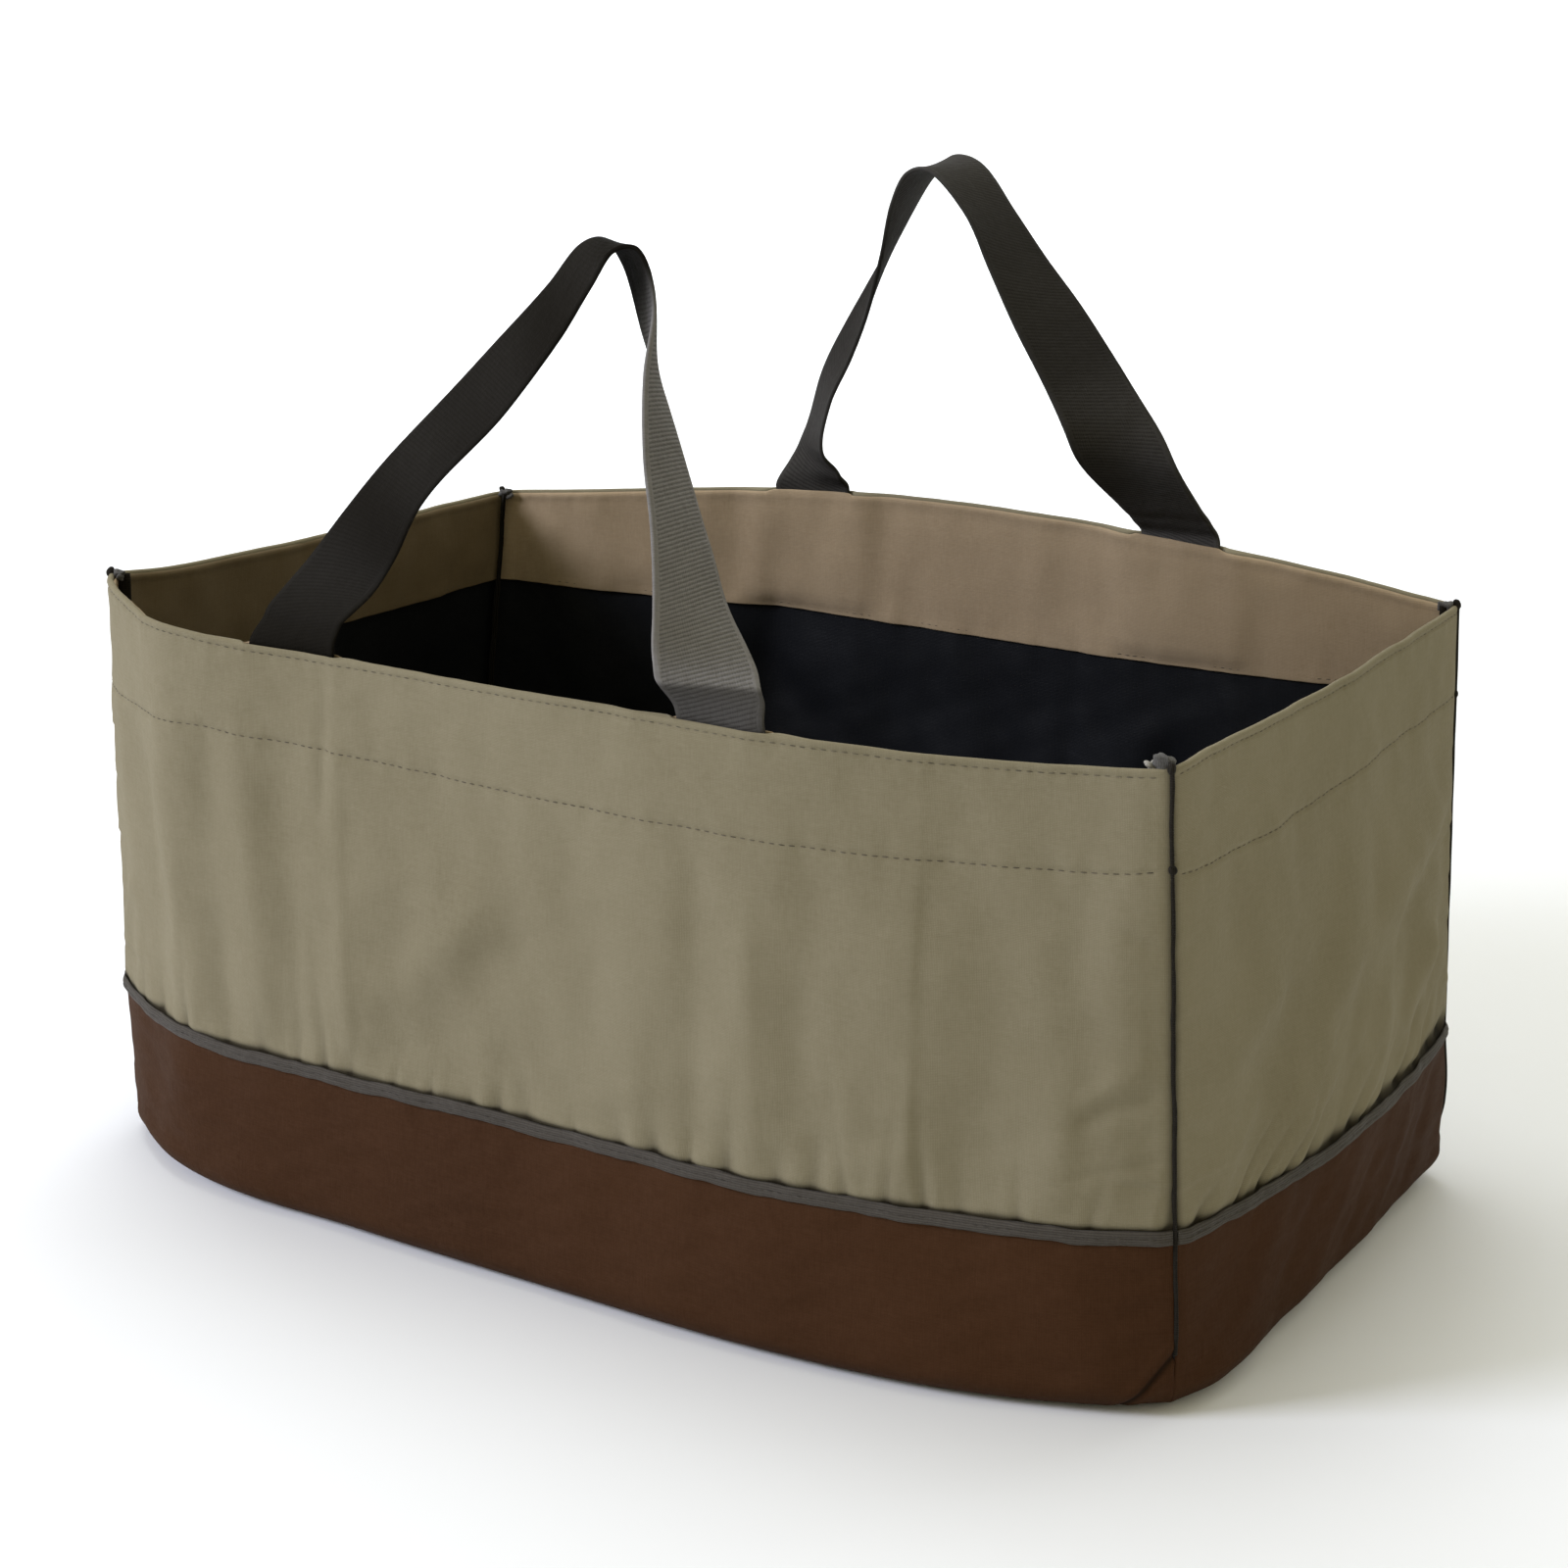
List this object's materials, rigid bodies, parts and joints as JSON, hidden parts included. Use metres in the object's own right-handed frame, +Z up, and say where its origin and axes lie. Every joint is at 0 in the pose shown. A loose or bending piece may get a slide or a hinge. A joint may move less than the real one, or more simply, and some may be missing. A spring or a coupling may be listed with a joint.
{
  "type": "firewood carrier bag",
  "caption": "Open-top rectangular canvas tote for carrying firewood, with a dark reinforced base band and two webbing handles looped above the rim.",
  "frame": {"origin": "middle of the bag's bounding box, on the ground", "axes": "+X along the long front wall to the right seen from the front, -Y is the front, +Z up"},
  "size_m": [0.5524, 0.3576, 0.4281],
  "materials": {
    "canvas_khaki": "matt plain-weave canvas",
    "hem_facing": "matt plain-weave canvas, folded hem",
    "canvas_brown": "matt coated canvas",
    "trim_tape": "ribbed tape",
    "seam_binding": "folded binding tape",
    "webbing": "twill webbing"
  },
  "bodies": {
    "root": {"panel_front": "canvas_khaki", "panel_back": "canvas_khaki", "panel_left": "canvas_khaki", "panel_right": "canvas_khaki", "facing_front": "hem_facing", "facing_back": "hem_facing", "facing_left": "hem_facing", "facing_right": "hem_facing", "base_front": "canvas_brown", "base_back": "canvas_brown", "base_cradle": "canvas_brown", "trim_front": "trim_tape", "trim_back": "trim_tape", "trim_left": "trim_tape", "trim_right": "trim_tape", "binding_front_left": "seam_binding", "binding_front_right": "seam_binding", "binding_back_left": "seam_binding", "binding_back_right": "seam_binding", "handle_front": "webbing", "handle_back": "webbing"}
  },
  "joints": []
}
